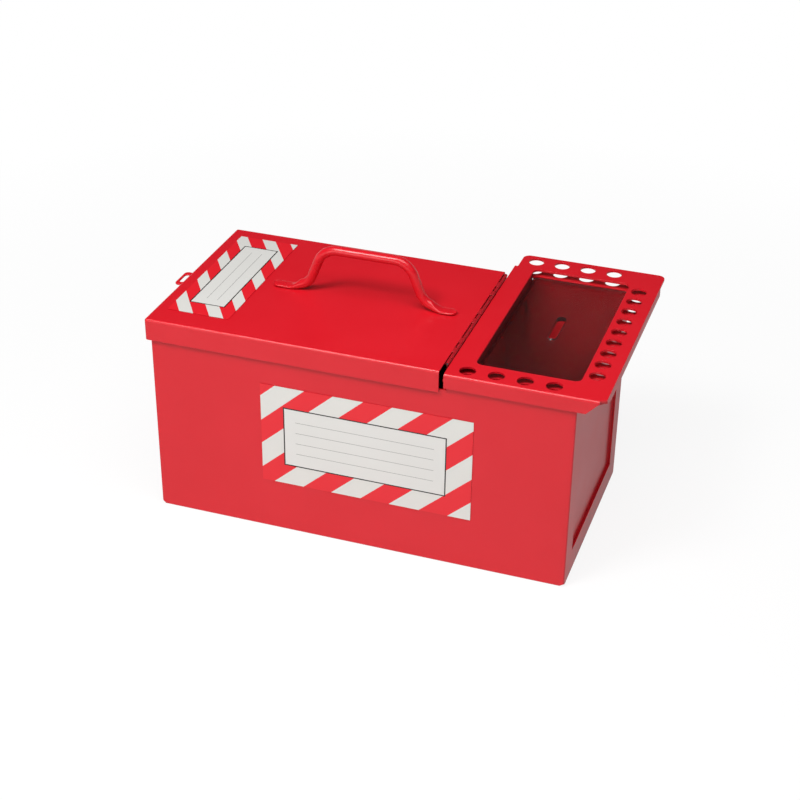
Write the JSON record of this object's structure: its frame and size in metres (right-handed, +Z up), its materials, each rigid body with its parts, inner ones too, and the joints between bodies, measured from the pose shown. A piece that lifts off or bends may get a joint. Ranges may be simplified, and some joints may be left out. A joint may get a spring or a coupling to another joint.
{
  "type": "group lock box",
  "caption": "Portable red sheet-steel group lock box: storage lid with handle, and a hinged lock plate with padlock holes over a key compartment.",
  "frame": {"origin": "centre of the body's flat bottom face, on the surface the box stands on", "axes": "+X towards the padlock end, +Y to the back, +Z up"},
  "size_m": [0.4472, 0.2597, 0.2558],
  "materials": {
    "red_coat": "semi-gloss powder coat on sheet steel",
    "hinge_coat": "powder coat over the hinge",
    "zinc_steel": "drawn steel wire",
    "clear_plastic": "clear acrylic sheet",
    "striped_vinyl": "printed vinyl film with slanted red and white stripes",
    "white_vinyl": "white vinyl film with a thin black border"
  },
  "bodies": {
    "box": {"body_shell": "red_coat", "left_end_panel": "red_coat", "right_end_panel": "red_coat", "partition_wall": "red_coat", "lock_flange": "red_coat", "hinge_fixed_leaf": "hinge_coat", "hinge_pin": "zinc_steel", "body_hasp": "red_coat", "front_label": "striped_vinyl", "front_label_panel": "white_vinyl"},
    "lid": {"storage_lid": "red_coat", "hinge_lid_leaf": "hinge_coat", "carry_handle": "red_coat", "lid_hasp": "red_coat", "lid_label": "striped_vinyl", "lid_label_panel": "white_vinyl"},
    "lock_cover": {"lock_plate": "red_coat", "pane_carrier": "red_coat", "window_pane": "clear_plastic", "hinge_plate_leaf": "hinge_coat"}
  },
  "joints": [
    {"name": "storage_lid_hinge", "type": "hinge", "parent": "box", "child": "lid", "pos_m": [0.0809, 0, 0.2037], "axis": [0, 1, 0], "range_deg": [0, 95]},
    {"name": "lock_plate_hinge", "type": "hinge", "parent": "box", "child": "lock_cover", "pos_m": [0.0809, 0, 0.2037], "axis": [0, -1, 0], "range_deg": [0, 40]}
  ]
}
